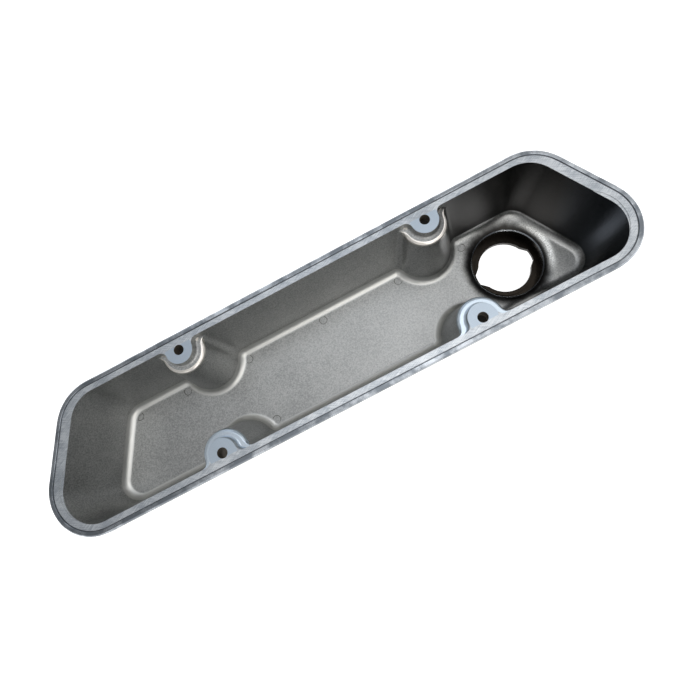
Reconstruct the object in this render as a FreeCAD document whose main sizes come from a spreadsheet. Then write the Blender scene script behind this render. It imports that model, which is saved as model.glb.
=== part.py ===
import FreeCAD, Part
import Sketcher
import math
import os

# Valve cover of a V8 engine: one aluminium die casting, open side up (+Z).
# The sealing face lies in z = 0, the origin is the centre of the four bolts,
# X runs along the cover, +Y points to its short long-edge.

os.makedirs("parts", exist_ok=True)
doc = FreeCAD.newDocument("valve_cover")
sheet = doc.addObject("Spreadsheet::Sheet", "sizes")

# All sizes in millimetres, angles in degrees, depths counted down from the sealing face.
named_sizes = [
    ("bolt_span", 234.7, "bolt spacing along the cover"),
    ("bolt_cross", 95.5, "bolt spacing across the cover"),
    ("bolt_bore", 8.9, "clearance hole for the bolts"),
    ("slant", 27.6, "lean of both ends, seen in plan"),
    ("side_overhang", 5.05, "bolt line to the inner edge of the sealing rail"),
    ("end_overhang", 100.75, "middle of the end bolts to the inner edge of the slanted end"),
    ("rail_corner", 28.0, "plan radius of the inner rail corners"),
    ("rail_side", 5.6, "width of the sealing rail along the sides"),
    ("rail_end", 9.0, "width of the sealing rail along the ends"),
    ("lip_width", 4.1, "width of the outer lip"),
    ("lip_corner", 36.0, "plan radius inside the lip at the corners"),
    ("flange_thick", 6.5, "flange thickness"),
    ("lip_rise", 0.9, "height of the outer lip over the sealing face"),
    ("lip_bevel", 1.2, "bevel of the outer lip"),
    ("draft", 8.0, "lean of all cast walls"),
    ("wall_thick", 3.8, "casting wall"),
    ("floor_depth", 71.0, "sealing face to the inside of the roof"),
    ("roof_thick", 4.0, "roof wall"),
    ("floor_round", 7.5, "fillet between walls and roof inside"),
    ("roof_round", 6.5, "rounding of the roof edge outside"),
    ("tab_radius", 12.0, "bolt tab, level with the rail"),
    ("tab_flare", 6.0, "hollow radius between tab and rail"),
    ("tab_lean", 0.6, "growth of the tab radius down to its foot"),
    ("tab_foot", 2.0, "hollow radius at the foot of the tab"),
    ("ledge_depth", 7.0, "sealing face to the ledge round the tab"),
    ("boss_radius", 19.6, "bolt boss at the ledge"),
    ("ledge_round", 3.0, "rounding of the ledge round a boss"),
    ("boss_blend", 5.0, "hollow radius between boss and wall at the ledge"),
    ("boss_blend_low", 9.0, "the same radius at the roof"),
    ("pad_thick", 4.5, "ledge to the bottom of the bolt recess"),
    ("recess_flare", 3.0, "bevel of the recess into the roof"),
    ("spot_radius", 10.5, "spot face under the bolt head"),
    ("spot_depth", 0.6, "depth of the spot face"),
    ("neck_inset", 61.9, "slanted end to the filler axis, on the centre line"),
    ("neck_across", 1.2, "filler axis towards the long edge"),
    ("neck_wall", 3.3, "wall of the filler neck"),
    ("neck_bevel", 1.2, "bevel at the end and at the root of the neck"),
    ("mouth_flare", 5.3, "rounded filler mouth beyond the turned bore"),
    ("mouth_round", 6.0, "rounding of the filler mouth inside"),
    ("seat_radius", 33.5, "turned bore above the filler seat"),
    ("seat_drop", 16.0, "inside of the roof to the filler seat"),
    ("seat_thick", 3.0, "seat to the end of the neck"),
    ("cam_radius", 29.1, "raised cam ring and reach of the two notches"),
    ("cam_rise", 1.2, "height of the cam ring over the seat"),
    ("throat_radius", 25.4, "filler opening"),
    ("notch_turn", -1.5, "angle of the notches from the X axis"),
    ("notch_top", 22.0, "width of a notch at its outer end, degrees"),
    ("notch_foot", 52.0, "width of a notch at the opening, degrees"),
    ("relief_radius", 30.0, "cutter relief at the two wide corners"),
    ("relief_depth", 0.45, "depth of the cutter relief"),
    ("pin_radius", 4.2, "ejector pin marks"),
    ("pin_depth", 0.35, "depth of the ejector pin marks"),
    ("pin_margin", 9.6, "foot of the walls to the pin marks"),
    ("pin_inner", 33.9, "bolts to the pin marks towards the middle"),
    ("pin_outer", 35.6, "bolts to the pin marks towards the ends"),
]
for row, (alias, value, meaning) in enumerate(named_sizes, start=1):
    sheet.set("A%d" % row, alias)
    sheet.set("B%d" % row, str(value))
    sheet.set("C%d" % row, meaning)
    sheet.setAlias("B%d" % row, alias)
doc.recompute()


# A size is carried as a pair: its number for the first drawing and its formula for the model.
def held(alias):
    return float(sheet.get(alias)), "sizes." + alias


def plus(first, second):
    return first[0] + second[0], "(" + first[1] + " + " + second[1] + ")"


def less(first, second):
    return first[0] - second[0], "(" + first[1] + " - " + second[1] + ")"


def times(first, second):
    return first[0] * second[0], first[1] + " * " + second[1]


def over(first, second):
    return first[0] / second[0], first[1] + " / " + second[1]


def half_of(first):
    return first[0] / 2, first[1] + " / 2"


lean = (math.tan(math.radians(held("draft")[0])), "tan(sizes.draft * 1deg)")
no_depth = (0.0, "0")
bolt_x = half_of(held("bolt_span"))
bolt_y = half_of(held("bolt_cross"))
slant_sine = (math.sin(math.radians(held("slant")[0])), "sin(sizes.slant * 1deg)")
slant_cosine = (math.cos(math.radians(held("slant")[0])), "cos(sizes.slant * 1deg)")
rail_half = plus(bolt_y, held("side_overhang"))
rail_reach = plus(bolt_x, held("end_overhang"))
rail_corner = held("rail_corner")
lip_half = plus(rail_half, held("rail_side"))
lip_reach = plus(rail_reach, held("rail_end"))
lip_corner = held("lip_corner")
rim_half = plus(lip_half, held("lip_width"))
rim_reach = plus(lip_reach, held("lip_width"))
rim_corner = plus(lip_corner, held("lip_width"))


def at_depth(size, depth):
    return less(size, times(depth, lean))


boss_sweep = math.radians(120)
body = doc.addObject("PartDesign::Body", "valve_cover")


def origin_plane(role):
    for piece in body.Origin.OriginFeatures:
        if piece.Role == role:
            return piece
    raise ValueError(role)


def new_sketch(name, depth):
    sketch = body.newObject("Sketcher::SketchObject", name)
    sketch.AttachmentSupport = [(origin_plane("XY_Plane"), "")]
    sketch.MapMode = "FlatFace"
    sketch.AttachmentOffset = FreeCAD.Placement(
        FreeCAD.Vector(0, 0, -depth[0]), FreeCAD.Rotation()
    )
    sketch.setExpression(".AttachmentOffset.Base.z", "-(" + depth[1] + ")")
    sketch.Visibility = False
    return sketch


def bind(sketch, constraint, size):
    index = sketch.addConstraint(constraint)
    sketch.setExpression("Constraints[%d]" % index, size[1])
    return index


def line(first, second):
    return Part.LineSegment(FreeCAD.Vector(*first, 0), FreeCAD.Vector(*second, 0))


def arc(centre, radius, start, end):
    circle = Part.Circle(FreeCAD.Vector(*centre, 0), FreeCAD.Vector(0, 0, 1), radius)
    return Part.ArcOfCircle(circle, start, end)


def side_run(turn, reach, half, boss, blend, hold):
    # One long side from corner to corner; turn is 0 for the far side, pi for the near side.
    # The side and each boss are split where their length or sweep stays the same at any depth.
    def spot(x, y):
        return (x, y) if turn == 0 else (-x, -y)

    if boss is None:
        return [("side", line(spot(reach, half), spot(-reach, half)), None)]
    rise = half - blend - bolt_y[0]
    gap = math.sqrt((boss + blend) ** 2 - rise ** 2)
    tilt = math.atan2(rise, gap)
    quarter = math.pi / 2 + turn
    first = 3 * math.pi / 2 - boss_sweep / 2 + turn
    last = first + boss_sweep
    run = []
    start = reach
    for centre in (bolt_x[0], -bolt_x[0]):
        right = spot(centre + gap, half - blend)
        left = spot(centre - gap, half - blend)
        middle = spot(centre, bolt_y[0])
        enter, leave = (plus, less) if centre > 0 else (less, plus)
        run.append(("side", line(spot(start, half), spot(centre + hold[0], half)), None))
        bit = line(spot(centre + hold[0], half), spot(centre + gap, half))
        run.append(("bit", bit, (1, enter(bolt_x, hold))))
        run.append(("blend", arc(right, blend, quarter, math.pi + tilt + turn), None))
        run.append(("turn", arc(middle, boss, last, 2 * math.pi + tilt + turn), 1))
        run.append(("boss", arc(middle, boss, first, last), middle))
        run.append(("turn", arc(middle, boss, math.pi - tilt + turn, first), -1))
        run.append(("blend", arc(left, blend, turn - tilt, quarter), None))
        bit = line(spot(centre - gap, half), spot(centre - hold[0], half))
        run.append(("bit", bit, (2, leave(bolt_x, hold))))
        start = centre - hold[0]
    run.append(("side", line(spot(start, half), spot(-reach, half)), None))
    return run


def from_origin(kind, index, point, number, size):
    # Distance from the origin to a point, along X or Y, whichever side the point is on.
    if number > 0:
        return Sketcher.Constraint(kind, -1, 1, index, point, size[0]), size[1]
    return Sketcher.Constraint(kind, index, point, -1, 1, size[0]), size[1]


def draw_outline(sketch, half, reach, corner, boss=None, blend=None, hold=None):
    # Rounded trapezoid with leaning ends; with a boss radius it is drawn in round the four bolts.
    inset = half[0] - corner[0]
    far = (reach[0] - corner[0] - inset * slant_sine[0]) / slant_cosine[0]
    near = (reach[0] - corner[0] + inset * slant_sine[0]) / slant_cosine[0]
    boss_number = boss[0] if boss else None
    blend_number = blend[0] if blend else None
    right_angle = math.pi / 2
    lean_angle = math.radians(held("slant")[0])
    end_x = corner[0] * slant_cosine[0]
    end_y = corner[0] * slant_sine[0]
    far_end = (far + end_x, inset + end_y)
    near_end = (near + end_x, -inset + end_y)
    run = side_run(0, far, half[0], boss_number, blend_number, hold)
    run.append(("corner", arc((-far, inset), corner[0], right_angle, math.pi - lean_angle), None))
    run.append(("end", line((-far_end[0], far_end[1]), (-near_end[0], near_end[1])), None))
    run.append(("corner", arc((-near, -inset), corner[0], math.pi - lean_angle, 3 * right_angle), None))
    run += side_run(math.pi, near, half[0], boss_number, blend_number, hold)
    run.append(("corner", arc((near, -inset), corner[0], -right_angle, lean_angle), None))
    run.append(("end", line(near_end, far_end), None))
    run.append(("corner", arc((far, inset), corner[0], lean_angle, right_angle), None))

    first = sketch.GeometryCount
    sketch.addGeometry([shape for kind, shape, anchor in run], False)
    count = len(run)
    rules = []
    backward = ("turn", "boss")
    for step in range(count):
        following = (step + 1) % count
        kinds = {run[step][0], run[following][0]}
        joint = "Coincident" if kinds in ({"side", "bit"}, {"turn", "boss"}) else "Tangent"
        leave = 1 if run[step][0] in backward else 2
        enter = 2 if run[following][0] in backward else 1
        rules.append((Sketcher.Constraint(joint, first + step, leave, first + following, enter), None))
    seen = {}
    for step, (kind, shape, anchor) in enumerate(run):
        index = first + step
        if kind in ("side", "bit"):
            rules.append((Sketcher.Constraint("Horizontal", index), None))
        if kind == "side":
            rules.append(from_origin("DistanceY", index, 1, shape.StartPoint.y, half))
        if kind == "bit":
            point, place = anchor
            split = shape.StartPoint if point == 1 else shape.EndPoint
            rules.append(from_origin("DistanceX", index, point, split.x, place))
        if kind == "end":
            rules.append((Sketcher.Constraint("Distance", -1, 1, index, reach[0]), reach[1]))
            direction = math.atan2(
                shape.EndPoint.y - shape.StartPoint.y, shape.EndPoint.x - shape.StartPoint.x
            )
            upward = shape.EndPoint.y > 0
            formula = "90deg + sizes.slant * 1deg" if upward else "-90deg - sizes.slant * 1deg"
            rules.append((Sketcher.Constraint("Angle", index, direction), formula))
        if kind in ("corner", "boss", "blend"):
            radius = {"corner": corner, "boss": boss, "blend": blend}[kind]
            if kind in seen:
                rules.append((Sketcher.Constraint("Equal", seen[kind], index), None))
            else:
                seen[kind] = index
                rules.append((Sketcher.Constraint("Radius", index, radius[0]), radius[1]))
        if kind == "turn":
            rules.append((Sketcher.Constraint("Coincident", index, 3, index + anchor, 3), None))
        if kind == "boss":
            rules.append(from_origin("DistanceX", index, 3, anchor[0], bolt_x))
            rules.append(from_origin("DistanceY", index, 3, anchor[1], bolt_y))
            rules.append((Sketcher.Constraint("Angle", index, boss_sweep), None))
            rules.append((Sketcher.Constraint("Horizontal", index, 1, index, 2), None))
    first_rule = sketch.ConstraintCount
    sketch.addConstraint([rule for rule, formula in rules])
    for number, (rule, formula) in enumerate(rules, start=first_rule):
        if formula:
            sketch.setExpression("Constraints[%d]" % number, formula)


def loft(kind, name, upper, lower):
    feature = body.newObject("PartDesign::" + kind, name)
    feature.Profile = upper
    feature.Sections = lower
    feature.Ruled = True
    doc.recompute()
    return feature


def level_edges(feature, depth):
    # Names of all edges that lie in the plane at this depth.
    names = []
    for number, edge in enumerate(feature.Shape.Edges, start=1):
        box = edge.BoundBox
        if abs(box.ZMin + depth[0]) < 0.01 and abs(box.ZMax + depth[0]) < 0.01:
            names.append("Edge%d" % number)
    return names


def fillet(name, base, edges, radius):
    feature = body.newObject("PartDesign::Fillet", name)
    feature.Base = (base, edges)
    feature.Radius = radius[0]
    feature.setExpression("Radius", radius[1])
    doc.recompute()
    return feature


# Outer wall, one plain drafted block up to the sealing face, rounded round the roof.
wall = held("wall_thick")
ledge = held("ledge_depth")
pad = plus(ledge, held("pad_thick"))
floor = held("floor_depth")
roof = plus(floor, held("roof_thick"))
skin_half = plus(rail_half, wall)
skin_reach = plus(rail_reach, wall)
skin_corner = plus(rail_corner, wall)


def skin_outline(name, depth):
    sketch = new_sketch(name, depth)
    draw_outline(
        sketch, at_depth(skin_half, depth), at_depth(skin_reach, depth), at_depth(skin_corner, depth)
    )
    return sketch


shell = loft("AdditiveLoft", "shell", skin_outline("skin_top", no_depth), [skin_outline("skin_low", roof)])
fillet("roof_edge", shell, level_edges(shell, roof), held("roof_round"))

# Flange with the outer lip that stands a little over the sealing face.
rim_outline = new_sketch("rim_outline", no_depth)
draw_outline(rim_outline, rim_half, rim_reach, rim_corner)
flange = body.newObject("PartDesign::Pad", "flange")
flange.Profile = rim_outline
flange.Reversed = True
flange.Length = held("flange_thick")[0]
flange.setExpression("Length", "sizes.flange_thick")
doc.recompute()
lip_outline = new_sketch("lip_outline", no_depth)
draw_outline(lip_outline, rim_half, rim_reach, rim_corner)
draw_outline(lip_outline, lip_half, lip_reach, lip_corner)
lip = body.newObject("PartDesign::Pad", "lip")
lip.Profile = lip_outline
lip.Length = held("lip_rise")[0]
lip.setExpression("Length", "sizes.lip_rise")
doc.recompute()
lip_top = (-held("lip_rise")[0], "-sizes.lip_rise")
outer_edges = []
slant_angle = math.radians(held("slant")[0])
between_half = (lip_half[0] + rim_half[0]) / 2
between_reach = (lip_reach[0] + rim_reach[0]) / 2
between_corner = (lip_corner[0] + rim_corner[0]) / 2
for name in level_edges(lip, lip_top):
    edge = lip.Shape.getElement(name)
    middle = edge.valueAt((edge.FirstParameter + edge.LastParameter) / 2)
    along = abs(middle.x) * math.cos(slant_angle) + middle.y * math.sin(slant_angle)
    if abs(middle.y) > between_half or along > between_reach:
        outer_edges.append(name)
    elif edge.Curve.TypeId == "Part::GeomCircle" and edge.Curve.Radius > between_corner:
        outer_edges.append(name)
lip_edge = body.newObject("PartDesign::Chamfer", "lip_edge")
lip_edge.Base = (lip, outer_edges)
lip_edge.Size = held("lip_bevel")[0]
lip_edge.setExpression("Size", "sizes.lip_bevel")
doc.recompute()

# Cavity: down to the ledges round the bolt tabs, then down to the roof round the bolt bosses.
def cavity_outline(name, depth, boss, blend, hold):
    sketch = new_sketch(name, depth)
    draw_outline(
        sketch, at_depth(rail_half, depth), at_depth(rail_reach, depth),
        at_depth(rail_corner, depth), boss, blend, hold
    )
    return sketch


def arc_steps(count):
    # Corner points of a quarter circle of radius one, from its flat end to its upright end.
    for step in range(count + 1):
        angle = math.pi / 2 * step / count
        inset = round(1 - math.sin(angle), 5)
        drop = round(1 - math.cos(angle), 5)
        yield step, (inset, str(inset)), (drop, str(drop))


tab_radius = held("tab_radius")
tab_flare = held("tab_flare")
tab_foot = held("tab_foot")
foot_radius = plus(tab_radius, held("tab_lean"))
tab_hold = plus(plus(foot_radius, tab_foot), tab_flare)
mouth_parts = [cavity_outline("mouth_outline", no_depth, tab_radius, tab_flare, tab_hold)]
for step, inset, drop in arc_steps(3):
    depth = less(ledge, times(inset, tab_foot))
    grow = times(drop, tab_foot)
    name = "tab_foot_outline_%d" % step
    mouth_parts.append(
        cavity_outline(name, depth, plus(foot_radius, grow), less(tab_flare, grow), tab_hold)
    )
loft("SubtractiveLoft", "cavity_mouth", mouth_parts[0], mouth_parts[1:])

boss_radius = held("boss_radius")
boss_blend = held("boss_blend")
ledge_round = held("ledge_round")
boss_foot = plus(boss_radius, times(less(floor, ledge), lean))
boss_blend_low = held("boss_blend_low")
boss_hold = plus(boss_foot, boss_blend_low)
room_parts = []
for step, inset, drop in arc_steps(3):
    depth = plus(ledge, times(drop, ledge_round))
    shrink = times(inset, ledge_round)
    name = "ledge_outline_%d" % step
    radius = less(boss_radius, shrink)
    room_parts.append(cavity_outline(name, depth, radius, plus(boss_blend, shrink), boss_hold))
room_parts.append(cavity_outline("floor_outline", floor, boss_foot, boss_blend_low, boss_hold))
room = loft("SubtractiveLoft", "cavity_room", room_parts[0], room_parts[1:])
fillet("floor_edge", room, level_edges(room, floor), held("floor_round"))

# Filler neck, turned about its own upright axis.
neck_x = less(over(rail_reach, slant_cosine), held("neck_inset"))
neck_y = held("neck_across")
seat = held("seat_radius")
seat_depth = plus(floor, held("seat_drop"))
neck_end = plus(seat_depth, held("seat_thick"))
neck_bevel = held("neck_bevel")


def upright_sketch(name, x, near):
    # Upright sketch whose own upright axis stands at x and at this distance towards -Y.
    sketch = body.newObject("Sketcher::SketchObject", name)
    sketch.AttachmentSupport = [(origin_plane("XZ_Plane"), "")]
    sketch.MapMode = "FlatFace"
    sketch.AttachmentOffset = FreeCAD.Placement(
        FreeCAD.Vector(x[0], 0, near[0]), FreeCAD.Rotation()
    )
    sketch.setExpression(".AttachmentOffset.Base.x", x[1])
    sketch.setExpression(".AttachmentOffset.Base.z", near[1])
    sketch.Visibility = False
    return sketch


def draw_turned(sketch, corners, bend=None, bend_size=None):
    # Closed profile through points given as (radius, depth). The side after corner number
    # bend is an arc of the given radius that starts upright and ends level.
    first = sketch.GeometryCount
    count = len(corners)
    spots = [FreeCAD.Vector(radius[0], -depth[0], 0) for radius, depth in corners]
    for step in range(count):
        following = (step + 1) % count
        if step == bend:
            top = spots[following]
            middle = (top.x, top.y - bend_size[0])
            spread = math.acos((spots[step].x - middle[0]) / bend_size[0])
            sketch.addGeometry(arc(middle, bend_size[0], math.pi / 2, spread), False)
        else:
            sketch.addGeometry(Part.LineSegment(spots[step], spots[following]), False)
    for step in range(count):
        following = (step + 1) % count
        leave = 1 if step == bend else 2
        enter = 2 if following == bend else 1
        sketch.addConstraint(
            Sketcher.Constraint("Coincident", first + step, leave, first + following, enter)
        )
    for step, (radius, depth) in enumerate(corners):
        index = first + step
        if bend is not None and step == bend:
            centre_depth = plus(corners[step + 1][1], bend_size)
            bind(sketch, Sketcher.Constraint("Radius", index, bend_size[0]), bend_size)
            across = corners[step + 1][0]
            bind(sketch, Sketcher.Constraint("DistanceX", -1, 1, index, 3, across[0]), across)
            down = Sketcher.Constraint("DistanceY", index, 3, -1, 1, centre_depth[0])
            bind(sketch, down, centre_depth)
            sketch.addConstraint(Sketcher.Constraint("Vertical", index - 1))
            sketch.addConstraint(Sketcher.Constraint("Vertical", index + 1))
            continue
        if bend is not None and step == bend + 1:
            continue
        bind(sketch, Sketcher.Constraint("DistanceY", index, 1, -1, 1, depth[0]), depth)
        if radius[0] == 0:
            sketch.addConstraint(Sketcher.Constraint("PointOnObject", index, 1, -2))
        else:
            bind(sketch, Sketcher.Constraint("DistanceX", -1, 1, index, 1, radius[0]), radius)


def turned(kind, name, sketch):
    feature = body.newObject("PartDesign::" + kind, name)
    feature.Profile = sketch
    feature.ReferenceAxis = (sketch, ["V_Axis"])
    feature.Angle = 360
    doc.recompute()
    return feature


axis = (0.0, "0")
neck_out = plus(seat, held("neck_wall"))
sunk = less(roof, half_of(held("roof_thick")))
neck_profile = upright_sketch("neck_profile", neck_x, neck_y)
draw_turned(neck_profile, [
    (axis, sunk),
    (axis, neck_end),
    (less(neck_out, neck_bevel), neck_end),
    (neck_out, less(neck_end, neck_bevel)),
    (neck_out, plus(roof, neck_bevel)),
    (plus(neck_out, neck_bevel), roof),
    (plus(neck_out, neck_bevel), sunk),
])
turned("Revolution", "neck", neck_profile)

# Bore of the filler: rounded mouth, turned bore, seat with its cam ring, opening.
mouth = plus(seat, held("mouth_flare"))
mouth_round = held("mouth_round")
cam = held("cam_radius")
cam_depth = less(seat_depth, held("cam_rise"))
throat = held("throat_radius")
clear = plus(neck_end, held("neck_wall"))
above = less(floor, held("floor_round"))
reach_in = less(mouth, seat)
edge_rise = math.sqrt(mouth_round[0] ** 2 - reach_in[0] ** 2)
edge_depth = (floor[0] + mouth_round[0] - edge_rise, "")
bore_profile = upright_sketch("bore_profile", neck_x, neck_y)
draw_turned(bore_profile, [
    (axis, above),
    (axis, clear),
    (throat, clear),
    (throat, cam_depth),
    (cam, cam_depth),
    (cam, seat_depth),
    (seat, seat_depth),
    (seat, edge_depth),
    (mouth, floor),
    (mouth, above),
], 7, mouth_round)
turned("Groove", "bore", bore_profile)


def pocket(name, sketch, length, upward=False):
    before = body.Tip.Shape.Volume
    feature = body.newObject("PartDesign::Pocket", name)
    feature.Profile = sketch
    feature.Length = length[0]
    feature.setExpression("Length", length[1])
    feature.Reversed = upward
    doc.recompute()
    if feature.Shape.Volume >= before:
        raise ValueError(name + " cuts nothing")
    return feature


# Two bayonet notches through the seat, half a turn apart.
notch_sketch = new_sketch("notch_profile", above)
notch_sketch.AttachmentOffset = FreeCAD.Placement(
    FreeCAD.Vector(neck_x[0], -neck_y[0], -above[0]),
    FreeCAD.Rotation(FreeCAD.Vector(0, 0, 1), held("notch_turn")[0]),
)
notch_sketch.setExpression(".AttachmentOffset.Base.x", neck_x[1])
notch_sketch.setExpression(".AttachmentOffset.Base.y", "-" + neck_y[1])
notch_sketch.setExpression(".AttachmentOffset.Rotation.Angle", "sizes.notch_turn * 1deg")
top_half = half_of(held("notch_top"))
foot_half = half_of(held("notch_foot"))


def turned_spot(radius, angle):
    turn_angle = math.radians(angle[0])
    formula = radius[1] + " * %s(" + angle[1] + " * 1deg)"
    return (
        (radius[0] * math.cos(turn_angle), formula % "cos"),
        (radius[0] * math.sin(turn_angle), formula % "sin"),
    )


top_x, top_y = turned_spot(cam, top_half)
foot_x, foot_y = turned_spot(throat, foot_half)
notch_sketch.addGeometry(arc((0, 0), cam[0], -math.radians(top_half[0]), math.radians(top_half[0])))
notch_sketch.addGeometry(line((top_x[0], top_y[0]), (foot_x[0], foot_y[0])))
notch_sketch.addGeometry(line((foot_x[0], foot_y[0]), (foot_x[0], -foot_y[0])))
notch_sketch.addGeometry(line((foot_x[0], -foot_y[0]), (top_x[0], -top_y[0])))
notch_sketch.addConstraint(Sketcher.Constraint("Coincident", 0, 3, -1, 1))
for step in range(4):
    notch_sketch.addConstraint(Sketcher.Constraint("Coincident", step, 2, (step + 1) % 4, 1))
bind(notch_sketch, Sketcher.Constraint("Radius", 0, cam[0]), cam)
bind(notch_sketch, Sketcher.Constraint("DistanceY", -1, 1, 0, 2, top_y[0]), top_y)
bind(notch_sketch, Sketcher.Constraint("DistanceY", 0, 1, -1, 1, top_y[0]), top_y)
bind(notch_sketch, Sketcher.Constraint("DistanceX", -1, 1, 2, 1, foot_x[0]), foot_x)
bind(notch_sketch, Sketcher.Constraint("DistanceY", -1, 1, 2, 1, foot_y[0]), foot_y)
bind(notch_sketch, Sketcher.Constraint("DistanceX", -1, 1, 2, 2, foot_x[0]), foot_x)
bind(notch_sketch, Sketcher.Constraint("DistanceY", 2, 2, -1, 1, foot_y[0]), foot_y)
notch = pocket("notch", notch_sketch, less(clear, above))
notches = body.newObject("PartDesign::PolarPattern", "notches")
notches.Originals = [notch]
notches.Axis = (notch_sketch, ["N_Axis"])
notches.Angle = 360
notches.Occurrences = 2
body.Tip = notches
doc.recompute()


def circles(name, depth, radius, spots):
    # Equal circles at spots given as pairs of sizes with a sign for each direction.
    sketch = new_sketch(name, depth)
    for number, (sign_x, x, sign_y, y) in enumerate(spots):
        centre = FreeCAD.Vector(sign_x * x[0], sign_y * y[0], 0)
        index = sketch.addGeometry(Part.Circle(centre, FreeCAD.Vector(0, 0, 1), radius[0]), False)
        if number == 0:
            bind(sketch, Sketcher.Constraint("Radius", index, radius[0]), radius)
        else:
            sketch.addConstraint(Sketcher.Constraint("Equal", 0, index))
        for kind, sign, place in (("DistanceX", sign_x, x), ("DistanceY", sign_y, y)):
            if place[0] == 0:
                sketch.addConstraint(Sketcher.Constraint("PointOnObject", index, 3, -2))
            elif sign > 0:
                bind(sketch, Sketcher.Constraint(kind, -1, 1, index, 3, place[0]), place)
            else:
                bind(sketch, Sketcher.Constraint(kind, index, 3, -1, 1, place[0]), place)
    return sketch


# Bolt recesses from outside, one casting wall away from the bosses inside.
recess = less(boss_radius, wall)
flare = held("recess_flare")
flare_depth = less(roof, flare)
recess_foot = plus(recess, times(less(flare_depth, ledge), lean))
for number, (sign_x, sign_y) in enumerate([(1, 1), (-1, 1), (-1, -1), (1, -1)], start=1):
    along = (sign_x * bolt_x[0], "%d * %s" % (sign_x, bolt_x[1]))
    near = (-sign_y * bolt_y[0], "%d * %s" % (-sign_y, bolt_y[1]))
    recess_profile = upright_sketch("recess_profile_%d" % number, along, near)
    draw_turned(recess_profile, [
        (axis, pad),
        (axis, clear),
        (plus(recess_foot, flare), clear),
        (plus(recess_foot, flare), roof),
        (recess_foot, flare_depth),
        (plus(recess, times(held("pad_thick"), lean)), pad),
    ])
    turned("Groove", "recess_%d" % number, recess_profile)

# Bolt holes with a spot face at the bottom of each recess.
bolts = [(a, bolt_x, b, bolt_y) for a in (1, -1) for b in (1, -1)]
hole_sketch = circles("bolt_holes_plan", no_depth, half_of(held("bolt_bore")), bolts)
pocket("bolt_holes", hole_sketch, plus(pad, held("wall_thick")))
spot_sketch = circles("spot_faces_plan", pad, held("spot_radius"), bolts)
pocket("spot_faces", spot_sketch, held("spot_depth"), True)

# Shallow cutter relief at the two wide corners of the rail.
rim_inset = less(rim_half, rim_corner)
corner_reach = plus(less(rim_reach, rim_corner), times(rim_inset, slant_sine))
corner_x = over(corner_reach, slant_cosine)
corners = [(1, corner_x, -1, rim_inset), (-1, corner_x, -1, rim_inset)]
relief_sketch = circles("relief_plan", no_depth, held("relief_radius"), corners)
pocket("relief", relief_sketch, held("relief_depth"))

# Ejector pin marks on the inside of the roof.
pin_margin = held("pin_margin")
pin_row = less(at_depth(rail_half, floor), pin_margin)
pin_inner = less(bolt_x, held("pin_inner"))
pin_outer = plus(bolt_x, held("pin_outer"))
end_at_row = over(less(at_depth(rail_reach, floor), times(pin_row, slant_sine)), slant_cosine)
pins = [
    (-1, less(end_at_row, pin_margin), 1, pin_row),
    (-1, pin_outer, 1, pin_row),
    (1, pin_outer, 1, pin_row),
    (-1, pin_inner, 1, pin_row),
    (1, pin_inner, 1, pin_row),
    (1, no_depth, 1, pin_row),
    (-1, pin_inner, -1, pin_row),
]
pin_sketch = circles("pin_marks_plan", floor, held("pin_radius"), pins)
pocket("pin_marks", pin_sketch, held("pin_depth"))

doc.recompute()
for piece in doc.Objects:
    if "Invalid" in piece.State or "Error" in piece.State:
        raise ValueError(piece.Name + " failed: " + str(piece.State))
shape = body.Shape
if shape.isNull() or not shape.isValid() or len(shape.Solids) != 1:
    raise ValueError("the cover is not one valid solid")
body.Label = "valve_cover"
shape.exportStep("parts/valve_cover.step")
print("written", round(shape.Volume), len(shape.Faces))
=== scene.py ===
import bmesh
import bpy
import math
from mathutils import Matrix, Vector


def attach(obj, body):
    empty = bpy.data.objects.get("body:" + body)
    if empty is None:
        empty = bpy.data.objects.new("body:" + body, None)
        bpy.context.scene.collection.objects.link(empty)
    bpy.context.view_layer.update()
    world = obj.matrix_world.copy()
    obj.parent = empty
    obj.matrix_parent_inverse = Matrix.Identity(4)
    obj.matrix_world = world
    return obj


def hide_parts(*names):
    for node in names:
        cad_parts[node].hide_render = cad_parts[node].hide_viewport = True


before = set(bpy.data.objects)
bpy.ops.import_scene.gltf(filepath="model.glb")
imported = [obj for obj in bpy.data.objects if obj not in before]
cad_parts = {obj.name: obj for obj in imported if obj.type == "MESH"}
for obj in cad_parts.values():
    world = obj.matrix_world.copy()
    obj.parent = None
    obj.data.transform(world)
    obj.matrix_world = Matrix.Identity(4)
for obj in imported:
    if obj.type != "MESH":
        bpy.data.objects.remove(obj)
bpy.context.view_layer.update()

# A die-cast aluminium valve cover, lying on its roof with the open side up.
# All lengths below are in millimetres of the real part.
mm = 0.001

# A Mix node has an A, a B and a result for each kind of value. These are the colour ones.
colourA = 6
colourB = 7
colourResult = 2


def hexColour(text):
    # sRGB hex to the linear values that a shader socket takes
    linear = []
    for start in (0, 2, 4):
        value = int(text[start:start + 2], 16) / 255
        linear.append(value / 12.92 if value <= 0.04045 else ((value + 0.055) / 1.055) ** 2.4)
    return (linear[0], linear[1], linear[2], 1.0)


def addNode(tree, kind, inputs=None, **settings):
    # one shader node with its settings; an input is a link when it is a socket
    node = tree.nodes.new(kind)
    for name, value in settings.items():
        setattr(node, name, value)
    for name, value in (inputs or {}).items():
        if isinstance(value, bpy.types.NodeSocket):
            tree.links.new(value, node.inputs[name])
        else:
            node.inputs[name].default_value = value
    return node


def newMaterial(name):
    material = bpy.data.materials.new(name)
    material.use_nodes = True
    material.node_tree.nodes.clear()
    return material, material.node_tree


def deselectAll():
    if bpy.context.object and bpy.context.object.mode != "OBJECT":
        bpy.ops.object.mode_set(mode="OBJECT")
    bpy.ops.object.select_all(action="DESELECT")


def makeActive(piece):
    deselectAll()
    piece.select_set(True)
    bpy.context.view_layer.objects.active = piece


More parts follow.
